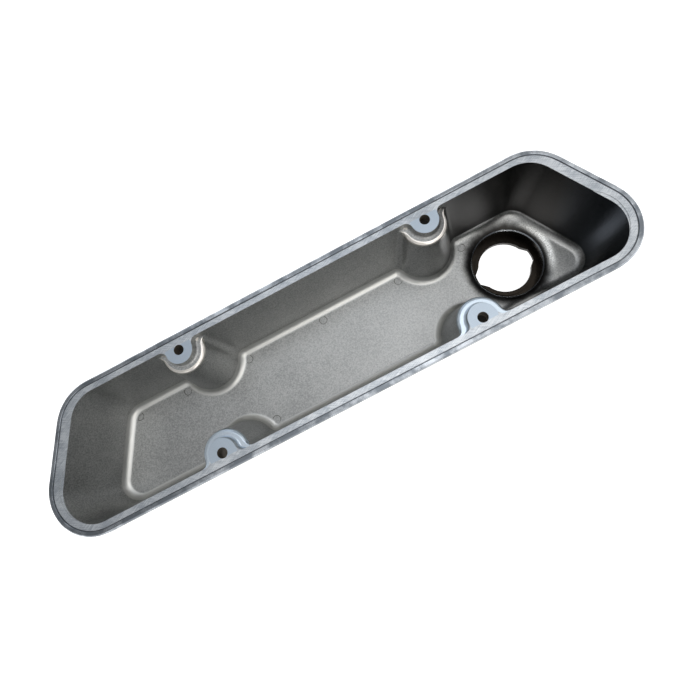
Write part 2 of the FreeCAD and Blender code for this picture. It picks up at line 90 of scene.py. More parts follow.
# Camera: fitted to the four bolt holes, the rail and the round filler of the photograph.
camera = {
    "lens": 23.053,
    "sensor": 36.0,
    "place": (22.209, -97.689, 354.348),
    "turn": (10.0802, 7.0033, -26.8322),    # degrees
    "nearest": 10.0,
    "farthest": 50000.0,
}
bpy.ops.object.camera_add(location=[value * mm for value in camera["place"]])
cameraObject = bpy.context.object
cameraObject.name = "studioCamera"
cameraObject.rotation_euler = [math.radians(value) for value in camera["turn"]]
cameraObject.data.lens = camera["lens"]
cameraObject.data.sensor_fit = "HORIZONTAL"
cameraObject.data.sensor_width = camera["sensor"]
cameraObject.data.clip_start = camera["nearest"] * mm
cameraObject.data.clip_end = camera["farthest"] * mm
bpy.context.scene.camera = cameraObject
print("camera set")

# The casting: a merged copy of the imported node, so that its facets can share smooth normals.
cover = {
    "merge": 0.002,
    "flat": 0.4,            # degrees between facets that are one flat face
    "smooth": 32,           # degrees, a sharper edge stays sharp
    "normalWeight": 100,    # how far large faces lead the shared normals
    "insideUp": 0.02,       # a face of the inside leans up by this much or more
    "boltX": 117.35,
    "boltY": 47.75,
    "holeMiddle": -6.0,
    "neckX": 184.2,
    "neckY": -1.2,
}


def castCover():
    makeActive(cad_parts["valve_cover"])
    bpy.ops.object.duplicate()
    piece = bpy.context.object
    piece.name = "cast_cover"
    piece.parent = None
    for key in list(piece.keys()):
        del piece[key]
    bpy.ops.object.mode_set(mode="EDIT")
    bpy.ops.mesh.select_all(action="SELECT")
    bpy.ops.mesh.customdata_custom_splitnormals_clear()
    bpy.ops.mesh.remove_doubles(threshold=cover["merge"] * mm)
    bpy.ops.mesh.dissolve_limited(angle_limit=math.radians(cover["flat"]))
    bpy.ops.object.mode_set(mode="OBJECT")
    return piece


# The lip is trimmed along its inner edge, and a strip of painted shade lies in the corner below it.
rim = {
    "near": 0.05,           # how close to a level counts as on it
    "flat": 0.99,           # a face that leans up this much counts as flat
    "steep": 0.7,           # and one that leans less than this as the side of the lip
    "lipHeight": 0.9,
    "seam": 0.75,
    "trim": 0.45,
    "trimSteps": 2,
    "trimRound": 0.5,
}

# A thin ring of painted shade is laid round the edge of each ejector pin mark.
pinMarks = {
    "level": -71.0,
    "levelOff": 1.5,
    "radius": 4.2,
    "areaOff": 6.0,
    "ring": 0.8,
}

# what the face layer of painted shade says by its number: none, the corner of the lip or the edge of a
# pin mark
paintedShadeKinds = ("clean", "seam", "ring")


def faceLevel(face):
    return face.calc_center_median().z / mm


def rimParts(work):
    # the flat faces of the rail, the edges at the foot of the lip and those along its top
    rail = [
        face for face in work.faces
        if abs(faceLevel(face)) < rim["near"] and face.normal.z > rim["flat"]
    ]
    footEdges = []
    lipEdges = []
    for face in work.faces:
        if abs(face.normal.z) > rim["steep"] or not rim["near"] < faceLevel(face) < rim["lipHeight"]:
            continue
        for edge in face.edges:
            others = [other for other in edge.link_faces if other is not face]
            lowest = min(corner.co.z / mm for corner in edge.verts)
            if any(other in rail for other in others):
                footEdges.append(edge)
            elif lowest > rim["lipHeight"] - rim["near"] and others and others[0].normal.z > rim["flat"]:
                lipEdges.append(edge)
    return rail, footEdges, lipEdges


def edgeCorners(edge):
    return frozenset(corner.index for corner in edge.verts)


def shadeSeam(work, rail, footEdges, paintedShade):
    # a thin strip of the rail along the foot of the lip gets painted shade
    foot = {edgeCorners(edge) for edge in footEdges}
    border = bmesh.ops.inset_region(
        work, faces=rail, thickness=rim["seam"] * mm, use_even_offset=True, use_boundary=True,
    )["faces"]
    shaded = [face for face in border if any(edgeCorners(edge) in foot for edge in face.edges)]
    for face in shaded:
        face[paintedShade] = paintedShadeKinds.index("seam")
    print("seam stained,", len(shaded), "of", len(border), "faces")


def trimLip(work, lipEdges):
    bmesh.ops.bevel(
        work, geom=[edge for edge in lipEdges if edge.is_valid], offset=rim["trim"] * mm,
        segments=rim["trimSteps"], profile=rim["trimRound"], affect="EDGES", clamp_overlap=True,
    )
    print("lip trimmed,", len(lipEdges), "edges")


def isPinMark(face):
    area = math.pi * pinMarks["radius"] ** 2
    return (
        face.normal.z > rim["flat"]
        and abs(faceLevel(face) - pinMarks["level"]) < pinMarks["levelOff"]
        and abs(face.calc_area() / mm ** 2 - area) < pinMarks["areaOff"]
    )


# each pin mark gets a thin ring of painted shade round its edge
def ringPinMarks(work, paintedShade):
    marks = [face for face in work.faces if isPinMark(face)]
    for mark in marks:
        rings = bmesh.ops.inset_individual(work, faces=[mark], thickness=pinMarks["ring"] * mm)["faces"]
        for ring in rings:
            ring[paintedShade] = paintedShadeKinds.index("ring")
    print("pin marks ringed,", len(marks))


def finishRim(piece):
    work = bmesh.new()
    work.from_mesh(piece.data)
    paintedShade = work.faces.layers.int.new("paintedShade")
    rail, footEdges, lipEdges = rimParts(work)
    shadeSeam(work, rail, footEdges, paintedShade)
    trimLip(work, lipEdges)
    ringPinMarks(work, paintedShade)
    work.to_mesh(piece.data)
    work.free()


# The roof sinks softly towards the filler, further out than the rounded mouth of the bore.
flare = {
    "reach": 46.0,          # where the sinking starts, from the middle of the filler
    "round": 20.0,
    "bore": 33.5,
    "mouth": 38.8,
    "mouthRound": 6.0,
    "floorLow": -76.5,
    "floorHigh": -60.0,
    "grid": 1.6,            # between the cuts that let the roof bend
    "weld": 0.01,           # a cut closer than this to a point goes through it
}


def flareDepth(away):
    # how far a point of the roof sinks at a distance from the middle of the filler
    inside = min(max(flare["reach"] - away, 0), flare["reach"] - flare["bore"])
    deep = flare["round"] - math.sqrt(flare["round"] ** 2 - inside ** 2)
    inMouth = min(max(flare["mouth"] - away, 0), flare["mouth"] - flare["bore"])
    mouthDeep = flare["mouthRound"] - math.sqrt(flare["mouthRound"] ** 2 - inMouth ** 2)
    return max(deep - mouthDeep, 0)


def facesRoundFiller(work, middle, span):
    # the faces of the roof that reach into the square of cuts
    near = []
    for face in work.faces:
        centre = face.calc_center_bounds() / mm
        if not flare["floorLow"] < centre.z < flare["floorHigh"] or face.normal.z < cover["insideUp"]:
            continue
        reaches = any((corner.co / mm - middle).xy.length < span for corner in face.verts)
        if reaches or (centre - middle).xy.length < span or face.calc_area() > (span * mm) ** 2:
            near.append(face)
    return near


def sinkFiller(piece):
    work = bmesh.new()
    work.from_mesh(piece.data)
    middle = Vector((cover["neckX"], cover["neckY"], 0))
    span = flare["reach"] + flare["grid"]
    cuts = int(2 * span / flare["grid"]) + 1
    for axis in (Vector((1, 0, 0)), Vector((0, 1, 0))):
        for cut in range(cuts):
            near = facesRoundFiller(work, middle, span)
            edges = {edge for face in near for edge in face.edges}
            corners = {corner for face in near for corner in face.verts}
            place = middle + axis * (cut * flare["grid"] - span)
            bmesh.ops.bisect_plane(
                work, geom=near + list(edges) + list(corners), dist=flare["weld"] * mm,
                plane_co=place * mm, plane_no=axis,
            )
    moved = 0
    for corner in work.verts:
        spot = corner.co / mm
        if not flare["floorLow"] < spot.z < flare["floorHigh"]:
            continue
        deep = flareDepth((spot - middle).xy.length)
        if deep > 0 and max(face.normal.z for face in corner.link_faces) > cover["insideUp"]:
            corner.co.z -= deep * mm
            moved += 1
    work.to_mesh(piece.data)
    work.free()
    print("roof sunk round the filler,", moved, "points")


coverPiece = castCover()
finishRim(coverPiece)
sinkFiller(coverPiece)
print("casting copied,", len(coverPiece.data.polygons), "faces")

# Die-cast aluminium, blasted with fine grit: a dull, faintly warm grey with a sparkling grain.
# The grit leaves pits of 0.2 to 0.4 mm; they are drawn at about 1 mm so that the render shows them.
blasted = {
    "pale": hexColour("c0c1c0"),
    "dark": hexColour("9a9b9b"),
    "shadeLow": 0.4,        # the noise values that turn dark and pale
    "shadeHigh": 0.6,
    "cloud": 42.0,
    "grain": 1.3,
    "grainShare": 0.8,
    "grainDepth": 0.1,
    "ripple": 7.0,
    "rippleDepth": 0.04,
    "roughLow": 0.34,
    "roughHigh": 0.46,
    "roughFrom": 0.35,
    "roughTo": 0.65,
}

# Painted highlight: a paler colour along the rounded corners of the floor, where they catch the light.
cornerHighlight = {
    "colour": hexColour("e0e0dd"),
    "foot": -71.0,          # levels between which the corners get the painted highlight
    "low": -70.7,
    "high": -66.4,
    "top": -63.9,
    "underShade": 0.1,           # what is left of it under the painted shade of the filler end
}

# Painted shade on the inside round the filler: the walls of that end and the sunk roof are darkened.
endShade = {
    "colour": hexColour("343332"),
    "rough": 0.34,
    "clean": 92.0,          # along the cover, no painted shade as far as this
    "dark": 158.0,          # and all of it from here
    "wallLow": -66.8,
    "wallHigh": -64.0,
    "ringDark": 35.5,       # from the middle of the filler
    "ringClean": 47.0,
    "wander": 9.0,
    "wanderDepth": 6.0,
    # the painted bluish sheen in the last corner of the end wall
    "endSheen": hexColour("555b64"),
    "endStart": 232.0,
    "endFull": 262.0,
}

# Painted highlight: a speckled pale arc on the sunk roof round the filler, on the side of the end wall.
arcHighlight = {
    "colour": hexColour("fbfbf8"),
    "radius": 40.5,
    "half": 5.0,
    "fullTurn": math.radians(22),
    "endTurn": math.radians(50),
    "speck": 0.8,
    "speckLow": 0.25,
    "speckHigh": 0.6,
}


def fromNeck(tree, place):
    # the level arrow from the axis of the filler to a point
    neck = (cover["neckX"] * mm, cover["neckY"] * mm, 0)
    arrow = addNode(tree, "ShaderNodeVectorMath", {0: place, 1: neck}, operation="SUBTRACT")
    return addNode(tree, "ShaderNodeVectorMath", {
        0: arrow.outputs["Vector"], 1: (1, 1, 0),
    }, operation="MULTIPLY").outputs["Vector"]


def endShadeAmount(tree, place, parts):
    # how much painted shade a point of the inside gets, 0 to 1
    along = addNode(tree, "ShaderNodeMapRange", {
        "Value": parts["X"], "From Min": endShade["clean"] * mm, "From Max": endShade["dark"] * mm,
    }, interpolation_type="SMOOTHSTEP").outputs["Result"]
    up = addNode(tree, "ShaderNodeMapRange", {
        "Value": parts["Z"], "From Min": endShade["wallLow"] * mm, "From Max": endShade["wallHigh"] * mm,
    }, interpolation_type="SMOOTHSTEP").outputs["Result"]
    walls = addNode(tree, "ShaderNodeMath", {0: along, 1: up}, operation="MULTIPLY").outputs["Value"]
    wander = addNode(tree, "ShaderNodeTexNoise", {
        "Vector": place, "Scale": 1 / (endShade["wander"] * mm), "Detail": 3.0,
    }).outputs["Fac"]
    away = addNode(tree, "ShaderNodeVectorMath", {
        0: fromNeck(tree, place),
    }, operation="LENGTH").outputs["Value"]
    edge = addNode(tree, "ShaderNodeMath", {
        0: wander, 1: endShade["wanderDepth"] * mm, 2: away,
    }, operation="MULTIPLY_ADD").outputs["Value"]
    half = endShade["wanderDepth"] / 2
    ring = addNode(tree, "ShaderNodeMapRange", {
        "Value": edge, "From Min": (endShade["ringDark"] + half) * mm,
        "From Max": (endShade["ringClean"] + half) * mm, "To Min": 1.0, "To Max": 0.0,
    }, interpolation_type="SMOOTHSTEP").outputs["Result"]
    return addNode(tree, "ShaderNodeMath", {0: walls, 1: ring}, operation="MAXIMUM").outputs["Value"]


def paintedArcHighlight(tree, place):
    # how much painted highlight a point gets, 0 to 1
    level = fromNeck(tree, place)
    away = addNode(tree, "ShaderNodeVectorMath", {0: level}, operation="LENGTH").outputs["Value"]
    offRing = addNode(tree, "ShaderNodeMath", {
        0: away, 1: arcHighlight["radius"] * mm,
    }, operation="SUBTRACT").outputs["Value"]
    offSide = addNode(tree, "ShaderNodeMath", {0: offRing}, operation="ABSOLUTE").outputs["Value"]
    band = addNode(tree, "ShaderNodeMapRange", {
        "Value": offSide, "From Min": 0.0, "From Max": arcHighlight["half"] * mm,
        "To Min": 1.0, "To Max": 0.0,
    }, interpolation_type="SMOOTHSTEP").outputs["Result"]
    parts = addNode(tree, "ShaderNodeSeparateXYZ", {"Vector": level}).outputs
    angle = addNode(tree, "ShaderNodeMath", {
        0: parts["Y"], 1: parts["X"],
    }, operation="ARCTAN2").outputs["Value"]
    turn = addNode(tree, "ShaderNodeMath", {0: angle}, operation="ABSOLUTE").outputs["Value"]
    reach = addNode(tree, "ShaderNodeMapRange", {
        "Value": turn, "From Min": arcHighlight["fullTurn"], "From Max": arcHighlight["endTurn"],
        "To Min": 1.0, "To Max": 0.0,
    }, interpolation_type="SMOOTHSTEP").outputs["Result"]
    arc = addNode(tree, "ShaderNodeMath", {0: band, 1: reach}, operation="MULTIPLY").outputs["Value"]
    speck = addNode(tree, "ShaderNodeTexNoise", {
        "Vector": place, "Scale": 1 / (arcHighlight["speck"] * mm), "Detail": 2.0,
    }).outputs["Fac"]
    speckled = addNode(tree, "ShaderNodeMapRange", {
        "Value": speck, "From Min": arcHighlight["speckLow"], "From Max": arcHighlight["speckHigh"],
    }).outputs["Result"]
    return addNode(tree, "ShaderNodeMath", {0: arc, 1: speckled}, operation="MULTIPLY").outputs["Value"]


# the painted highlight along the rounded corners of the floor
def paintCornerHighlight(tree, parts, colour):
    foot = addNode(tree, "ShaderNodeMapRange", {
        "Value": parts["Z"], "From Min": cornerHighlight["foot"] * mm, "From Max": cornerHighlight["low"] * mm,
    }, interpolation_type="SMOOTHSTEP").outputs["Result"]
    top = addNode(tree, "ShaderNodeMapRange", {
        "Value": parts["Z"], "From Min": cornerHighlight["high"] * mm, "From Max": cornerHighlight["top"] * mm,
        "To Min": 1.0, "To Max": 0.0,
    }, interpolation_type="SMOOTHSTEP").outputs["Result"]
    both = addNode(tree, "ShaderNodeMath", {0: foot, 1: top}, operation="MULTIPLY").outputs["Value"]
    fade = addNode(tree, "ShaderNodeMapRange", {
        "Value": parts["X"], "From Min": endShade["clean"] * mm, "From Max": endShade["dark"] * mm,
        "To Min": 1.0, "To Max": cornerHighlight["underShade"],
    }).outputs["Result"]
    corner = addNode(tree, "ShaderNodeMath", {0: both, 1: fade}, operation="MULTIPLY").outputs["Value"]
    return addNode(tree, "ShaderNodeMix", {
        "Factor": corner, colourA: colour, colourB: cornerHighlight["colour"],
    }, data_type="RGBA").outputs[colourResult]


# the filler end gets painted shade, a painted bluish sheen and a painted highlight arc
def paintEndShade(tree, place, parts, colour, rough):
    shadeCoat = endShadeAmount(tree, place, parts)
    # in the last corner of the end wall the painted shade turns into a painted bluish sheen
    thin = addNode(tree, "ShaderNodeMapRange", {
        "Value": parts["X"], "From Min": endShade["endStart"] * mm, "From Max": endShade["endFull"] * mm,
    }).outputs["Result"]
    endShadeColour = addNode(tree, "ShaderNodeMix", {
        "Factor": thin, colourA: endShade["colour"], colourB: endShade["endSheen"],
    }, data_type="RGBA").outputs[colourResult]
    colour = addNode(tree, "ShaderNodeMix", {
        "Factor": shadeCoat, colourA: colour, colourB: endShadeColour,
    }, data_type="RGBA").outputs[colourResult]
    # the painted highlight arc round the filler
    colour = addNode(tree, "ShaderNodeMix", {
        "Factor": paintedArcHighlight(tree, place), colourA: colour, colourB: arcHighlight["colour"],
    }, data_type="RGBA").outputs[colourResult]
    rough = addNode(tree, "ShaderNodeMix", {
        "Factor": shadeCoat, "A": rough, "B": endShade["rough"],
    }).outputs["Result"]
    return colour, rough


def blastedCasting(name, shadedEnd):
    material, tree = newMaterial(name)
    place = addNode(tree, "ShaderNodeTexCoord").outputs["Object"]
    parts = addNode(tree, "ShaderNodeSeparateXYZ", {"Vector": place}).outputs
    cloud = addNode(tree, "ShaderNodeTexNoise", {
        "Vector": place, "Scale": 1 / (blasted["cloud"] * mm), "Detail": 4.0, "Roughness": 0.55,
    }).outputs["Fac"]
    grain = addNode(tree, "ShaderNodeTexNoise", {
        "Vector": place, "Scale": 1 / (blasted["grain"] * mm), "Detail": 3.0, "Roughness": 0.65,
    }).outputs["Fac"]
    ripple = addNode(tree, "ShaderNodeTexNoise", {
        "Vector": place, "Scale": 1 / (blasted["ripple"] * mm), "Detail": 2.0, "Roughness": 0.5,
    }).outputs["Fac"]
    mixed = addNode(tree, "ShaderNodeMix", {
        "Factor": blasted["grainShare"], "A": cloud, "B": grain,
    }).outputs["Result"]
    shade = addNode(tree, "ShaderNodeMapRange", {
        "Value": mixed, "From Min": blasted["shadeLow"], "From Max": blasted["shadeHigh"],
    }).outputs["Result"]
    colour = addNode(tree, "ShaderNodeMix", {
        "Factor": shade, colourA: blasted["dark"], colourB: blasted["pale"],
    }, data_type="RGBA").outputs[colourResult]
    colour = paintCornerHighlight(tree, parts, colour)
    rough = addNode(tree, "ShaderNodeMapRange", {
        "Value": grain, "From Min": blasted["roughFrom"], "From Max": blasted["roughTo"],
        "To Min": blasted["roughLow"], "To Max": blasted["roughHigh"],
    }).outputs["Result"]
    # the inside gets the painted shade and highlights of the filler end
    if shadedEnd:
        colour, rough = paintEndShade(tree, place, parts, colour, rough)
    soft = addNode(tree, "ShaderNodeBump", {
        "Height": ripple, "Distance": blasted["rippleDepth"] * mm, "Strength": 1.0,
    }).outputs["Normal"]
    pitted = addNode(tree, "ShaderNodeBump", {
        "Height": grain, "Distance": blasted["grainDepth"] * mm, "Strength": 1.0, "Normal": soft,
    }).outputs["Normal"]
    metal = addNode(tree, "ShaderNodeBsdfPrincipled", {
        "Base Color": colour, "Metallic": 1.0, "Roughness": rough, "Normal": pitted,
    })
    addNode(tree, "ShaderNodeOutputMaterial", {"Surface": metal.outputs["BSDF"]})
    return material


# Aluminium linished on a belt: bright, with fine crossing lines. The belt leaves lines of
# 0.1 mm; they are drawn at 0.5 mm so that the render shows them.
linished = {
    "pale": hexColour("e6eaee"),
    "dark": hexColour("b0b7bf"),
    "shadeLow": 0.42,
    "shadeHigh": 0.58,
    "line": 0.5,
    "lineStretch": (1.0, 22.0, 1.0),
    "lineDepth": 0.012,
    "lineTurns": (math.radians(62), math.radians(118)),
    "cloud": 16.0,
    "cloudShare": 0.3,
    "rough": 0.44,
}

# The tabs are faced by a round cutter, and are a little bluer and evener than the rail; the blue is a
# painted reflection tint.
faced = {
    "pale": hexColour("c9d5e1"),
    "dark": hexColour("b5c2cf"),
    "step": 0.9,            # of the cutter, from ring to ring
    "radius": 12.3,
    "side": 51.6,           # across the cover, from its middle line to the rail
}


def facedTab(tree, place):
    # whether a point is on a tab, the height of the cutter's rings there, and their colour
    mirrored = addNode(tree, "ShaderNodeVectorMath", {0: place}, operation="ABSOLUTE").outputs["Vector"]
    bolt = (cover["boltX"] * mm, cover["boltY"] * mm, 0)
    away = addNode(tree, "ShaderNodeVectorMath", {
        0: mirrored, 1: bolt,
    }, operation="DISTANCE").outputs["Value"]
    side = addNode(tree, "ShaderNodeSeparateXYZ", {"Vector": mirrored}).outputs["Y"]
    nearBolt = addNode(tree, "ShaderNodeMath", {
        0: away, 1: faced["radius"] * mm,
    }, operation="LESS_THAN").outputs["Value"]
    offRail = addNode(tree, "ShaderNodeMath", {
        0: side, 1: faced["side"] * mm,
    }, operation="LESS_THAN").outputs["Value"]
    onTab = addNode(tree, "ShaderNodeMath", {
        0: nearBolt, 1: offRail,
    }, operation="MULTIPLY").outputs["Value"]
    turns = addNode(tree, "ShaderNodeMath", {
        0: away, 1: 2 * math.pi / (faced["step"] * mm),
    }, operation="MULTIPLY").outputs["Value"]
    rings = addNode(tree, "ShaderNodeMath", {0: turns}, operation="SINE").outputs["Value"]
    shade = addNode(tree, "ShaderNodeMapRange", {
        "Value": rings, "From Min": -1.0, "From Max": 1.0,
    }).outputs["Result"]
    colour = addNode(tree, "ShaderNodeMix", {
        "Factor": shade, colourA: faced["dark"], colourB: faced["pale"],
    }, data_type="RGBA").outputs[colourResult]
    return onTab, rings, colour


def linishedRail():
    material, tree = newMaterial("linished aluminium rail")
    place = addNode(tree, "ShaderNodeTexCoord").outputs["Object"]
    marks = []
    for turn in linished["lineTurns"]:
        turned = addNode(tree, "ShaderNodeMapping", {
            "Vector": place, "Scale": linished["lineStretch"], "Rotation": (0, 0, turn),
        }, vector_type="TEXTURE").outputs["Vector"]
        marks.append(addNode(tree, "ShaderNodeTexNoise", {
            "Vector": turned, "Scale": 1 / (linished["line"] * mm), "Detail": 2.0,
        }).outputs["Fac"])
    lines = addNode(tree, "ShaderNodeMix", {
        "Factor": 0.5, "A": marks[0], "B": marks[1],
    }).outputs["Result"]
    cloud = addNode(tree, "ShaderNodeTexNoise", {
        "Vector": place, "Scale": 1 / (linished["cloud"] * mm), "Detail": 3.0,
    }).outputs["Fac"]
    mixed = addNode(tree, "ShaderNodeMix", {
        "Factor": linished["cloudShare"], "A": lines, "B": cloud,
    }).outputs["Result"]
    shade = addNode(tree, "ShaderNodeMapRange", {
        "Value": mixed, "From Min": linished["shadeLow"], "From Max": linished["shadeHigh"],
    }).outputs["Result"]
    railColour = addNode(tree, "ShaderNodeMix", {
        "Factor": shade, colourA: linished["dark"], colourB: linished["pale"],
    }, data_type="RGBA").outputs[colourResult]
    onTab, rings, tabColour = facedTab(tree, place)
    colour = addNode(tree, "ShaderNodeMix", {
        "Factor": onTab, colourA: railColour, colourB: tabColour,
    }, data_type="RGBA").outputs[colourResult]
    height = addNode(tree, "ShaderNodeMix", {"Factor": onTab, "A": lines, "B": rings}).outputs["Result"]
    bump = addNode(tree, "ShaderNodeBump", {
        "Height": height, "Distance": linished["lineDepth"] * mm, "Strength": 1.0,
    }).outputs["Normal"]
    metal = addNode(tree, "ShaderNodeBsdfPrincipled", {
        "Base Color": colour, "Metallic": 1.0, "Roughness": linished["rough"], "Normal": bump,
    })
    addNode(tree, "ShaderNodeOutputMaterial", {"Surface": metal.outputs["BSDF"]})
    return material


# Trimmed and brushed lip: half-bright metal with duller and brighter patches.
brushed = {
    "pale": hexColour("b9bec4"),
    "dark": hexColour("80868d"),
    "patch": 17.0,
    "shadeLow": 0.42,
    "shadeHigh": 0.6,
    "fine": 0.8,
    "fineDepth": 0.012,
    "roughLow": 0.2,
    "roughHigh": 0.36,
    "roughFrom": 0.35,
    "roughTo": 0.65,
}


def brushedLip():
    material, tree = newMaterial("brushed aluminium lip")
    place = addNode(tree, "ShaderNodeTexCoord").outputs["Object"]
    patch = addNode(tree, "ShaderNodeTexNoise", {
        "Vector": place, "Scale": 1 / (brushed["patch"] * mm), "Detail": 4.0, "Roughness": 0.6,
    }).outputs["Fac"]
    fine = addNode(tree, "ShaderNodeTexNoise", {
        "Vector": place, "Scale": 1 / (brushed["fine"] * mm), "Detail": 2.0,
    }).outputs["Fac"]
    shade = addNode(tree, "ShaderNodeMapRange", {
        "Value": patch, "From Min": brushed["shadeLow"], "From Max": brushed["shadeHigh"],
    }).outputs["Result"]
    colour = addNode(tree, "ShaderNodeMix", {
        "Factor": shade, colourA: brushed["dark"], colourB: brushed["pale"],
    }, data_type="RGBA").outputs[colourResult]
    # the pale patches are the smoother ones
    rough = addNode(tree, "ShaderNodeMapRange", {
        "Value": patch, "From Min": brushed["roughFrom"], "From Max": brushed["roughTo"],
        "To Min": brushed["roughHigh"], "To Max": brushed["roughLow"],
    }).outputs["Result"]
    bump = addNode(tree, "ShaderNodeBump", {
        "Height": fine, "Distance": brushed["fineDepth"] * mm, "Strength": 1.0,
    }).outputs["Normal"]
    metal = addNode(tree, "ShaderNodeBsdfPrincipled", {
        "Base Color": colour, "Metallic": 1.0, "Roughness": rough, "Normal": bump,
    })
    addNode(tree, "ShaderNodeOutputMaterial", {"Surface": metal.outputs["BSDF"]})
    return material


# Ledge milled round each tab: smooth and bright, with painted reflection tints: bluish on the two near
# ones, warm white on the two far ones.
milled = {
    "pale": hexColour("dbe6f0"),
    "dark": hexColour("c0cedb"),
    "farPale": hexColour("fbf7f1"),
    "farDark": hexColour("ece6de"),
    "middle": 20.0,         # half of the strip in which near turns to far
    "fine": 0.9,
    "fineDepth": 0.02,
    "rough": 0.3,
}


def milledLedge():
    material, tree = newMaterial("milled aluminium ledge")
    place = addNode(tree, "ShaderNodeTexCoord").outputs["Object"]
    fine = addNode(tree, "ShaderNodeTexNoise", {
        "Vector": place, "Scale": 1 / (milled["fine"] * mm), "Detail": 2.0,
    }).outputs["Fac"]
    near = addNode(tree, "ShaderNodeMix", {
        "Factor": fine, colourA: milled["dark"], colourB: milled["pale"],
    }, data_type="RGBA").outputs[colourResult]
    far = addNode(tree, "ShaderNodeMix", {
        "Factor": fine, colourA: milled["farDark"], colourB: milled["farPale"],
    }, data_type="RGBA").outputs[colourResult]
    across = addNode(tree, "ShaderNodeSeparateXYZ", {"Vector": place}).outputs["Y"]
    onFar = addNode(tree, "ShaderNodeMapRange", {
        "Value": across, "From Min": -milled["middle"] * mm, "From Max": milled["middle"] * mm,
    }).outputs["Result"]
    # the near ledges take the bluish painted reflection, the far ones the warm one
    colour = addNode(tree, "ShaderNodeMix", {
        "Factor": onFar, colourA: near, colourB: far,
    }, data_type="RGBA").outputs[colourResult]
    bump = addNode(tree, "ShaderNodeBump", {
        "Height": fine, "Distance": milled["fineDepth"] * mm, "Strength": 1.0,
    }).outputs["Normal"]
    metal = addNode(tree, "ShaderNodeBsdfPrincipled", {
        "Base Color": colour, "Metallic": 1.0, "Roughness": milled["rough"], "Normal": bump,
    })
    addNode(tree, "ShaderNodeOutputMaterial", {"Surface": metal.outputs["BSDF"]})
    return material


# Turned filler bore, stained nearly black by baked oil.
baked = {
    "pale": hexColour("35302b"),
    "dark": hexColour("191715"),
    "patch": 4.0,
    "patchDepth": 0.05,
    "rough": 0.25,
}

# Painted shade in the corner between rail and lip: dull grey, broken by bare metal.
seamShade = {
    "pale": hexColour("8b8f95"),
    "dark": hexColour("2f3032"),
    "patch": 6.0,
    "patchDepth": 0.02,
    "rough": 0.45,
}

# A lighter painted shade round the edges of the pin marks.
pinRingShade = {
    "pale": hexColour("8d8d8a"),
    "dark": hexColour("5c5c5a"),
    "patch": 3.0,
    "patchDepth": 0.02,
    "rough": 0.45,
}


# metal darkened by patches of a colour: baked oil in the bore, painted shade in the corner of the lip
# and round the pin marks
def stainOrShadeMetal(name, stainOrShade):
    material, tree = newMaterial(name)
    place = addNode(tree, "ShaderNodeTexCoord").outputs["Object"]
    patch = addNode(tree, "ShaderNodeTexNoise", {
        "Vector": place, "Scale": 1 / (stainOrShade["patch"] * mm), "Detail": 3.0, "Roughness": 0.6,
    }).outputs["Fac"]
    colour = addNode(tree, "ShaderNodeMix", {
        "Factor": patch, colourA: stainOrShade["dark"], colourB: stainOrShade["pale"],
    }, data_type="RGBA").outputs[colourResult]
    bump = addNode(tree, "ShaderNodeBump", {
        "Height": patch, "Distance": stainOrShade["patchDepth"] * mm, "Strength": 1.0,
    }).outputs["Normal"]
    metal = addNode(tree, "ShaderNodeBsdfPrincipled", {
        "Base Color": colour, "Metallic": 1.0, "Roughness": stainOrShade["rough"], "Normal": bump,
    })
    addNode(tree, "ShaderNodeOutputMaterial", {"Surface": metal.outputs["BSDF"]})
    return material


# Painted shade in the bolt holes and the recess walls round them: dark and matt, so it covers the metal.
recessShade = {
    "pale": hexColour("635d54"),
    "dark": hexColour("3b3732"),
    "patch": 5.0,
    "rough": 0.92,
    "sheen": 0.15,
}


def shadedRecess():
    material, tree = newMaterial("painted shade in the bolt recess")
    place = addNode(tree, "ShaderNodeTexCoord").outputs["Object"]
    patch = addNode(tree, "ShaderNodeTexNoise", {
        "Vector": place, "Scale": 1 / (recessShade["patch"] * mm), "Detail": 3.0, "Roughness": 0.6,
    }).outputs["Fac"]
    colour = addNode(tree, "ShaderNodeMix", {
        "Factor": patch, colourA: recessShade["dark"], colourB: recessShade["pale"],
    }, data_type="RGBA").outputs[colourResult]
    shadeCoat = addNode(tree, "ShaderNodeBsdfPrincipled", {
        "Base Color": colour, "Roughness": recessShade["rough"], "Specular IOR Level": recessShade["sheen"],
    })
    addNode(tree, "ShaderNodeOutputMaterial", {"Surface": shadeCoat.outputs["BSDF"]})
    return material


finishes = {
    "cast": blastedCasting("blasted die-cast aluminium, painted shade inside", True),
    "outside": blastedCasting("blasted die-cast aluminium", False),
    "rail": linishedRail(),
    "lip": brushedLip(),
    "ledge": milledLedge(),
    "bore": stainOrShadeMetal("turned bore with baked oil", baked),
    "seam": stainOrShadeMetal("painted shade in the corner of the lip", seamShade),
    "ring": stainOrShadeMetal("painted shade round the edge of a pin mark", pinRingShade),
    "recess": shadedRecess(),
}

# Where each finish lies: levels, distances from a bolt or from the middle of the filler, and
# how far a face leans up, from 0 for upright to 1 for flat.
zones = {
    "lipLow": 0.02,
    "railLow": -0.6,
    "railUp": 0.9,
    "edgeInner": 33.4,      # the turned edge of the filler bore
    "edgeOuter": 34.5,
    "edgeLow": -75.6,
    "edgeLeast": 0.15,
    "edgeMost": 0.98,
    "boreRadius": 34.5,
    "boreTop": -74.6,
    "ledgeTop": -4.6,
    "ledgeLow": -10.4,
    "ledgeSide": 53.0,
    "ledgeUp": 0.05,
    "ledgeRadius": 20.6,
    "farLedgeInner": 15.2,
    "nearLedgeInner": 0.0,
    "recessRadius": 11.5,
    "recessReach": 27.0,
    "recessFacing": 2.0,    # how much a recess wall looks towards its bolt
}


